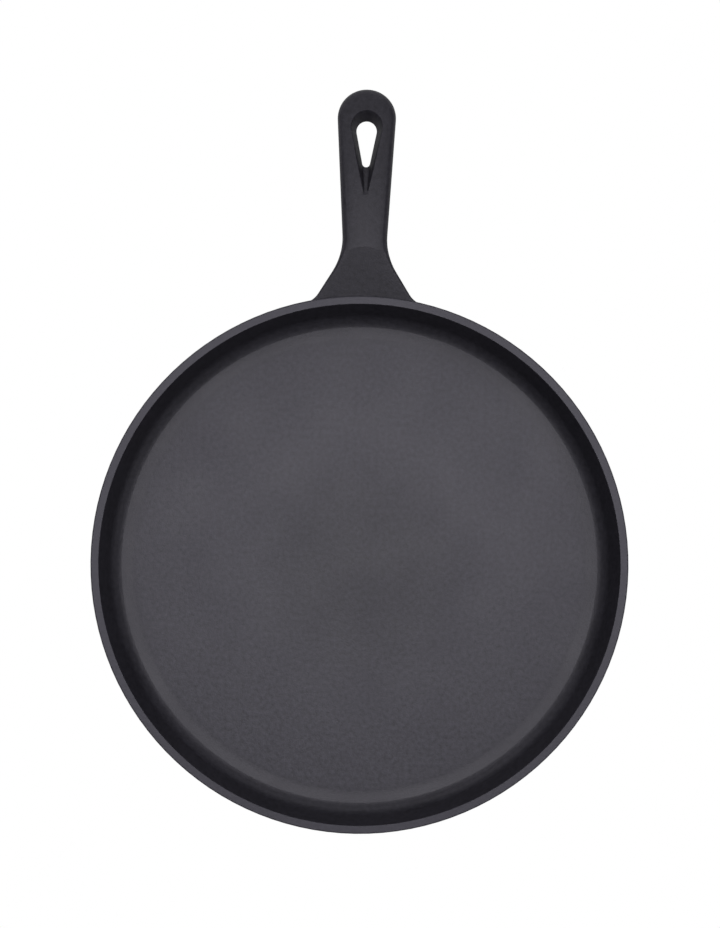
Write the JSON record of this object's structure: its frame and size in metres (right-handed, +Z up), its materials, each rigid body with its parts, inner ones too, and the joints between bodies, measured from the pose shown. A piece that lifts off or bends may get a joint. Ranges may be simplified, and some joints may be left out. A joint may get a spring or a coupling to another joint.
{
  "type": "cast iron pizza pan",
  "caption": "Round shallow cast iron pizza pan with a sloping wall, a flat rim and a flared handle with a teardrop hanging hole.",
  "frame": {"origin": "centre of the flat base, on the pan's own axis, at the height of the surface that the pan stands on", "axes": "+Z up out of the cooking surface, +Y from the pan's axis out along the handle, +X to the right of the handle when seen from above with the handle pointing away"},
  "size_m": [0.305, 0.4222, 0.032],
  "materials": {
    "iron": "matte seasoned iron with a fine sand-cast grain"
  },
  "bodies": {
    "root": {"pan_casting": "iron"}
  },
  "joints": []
}
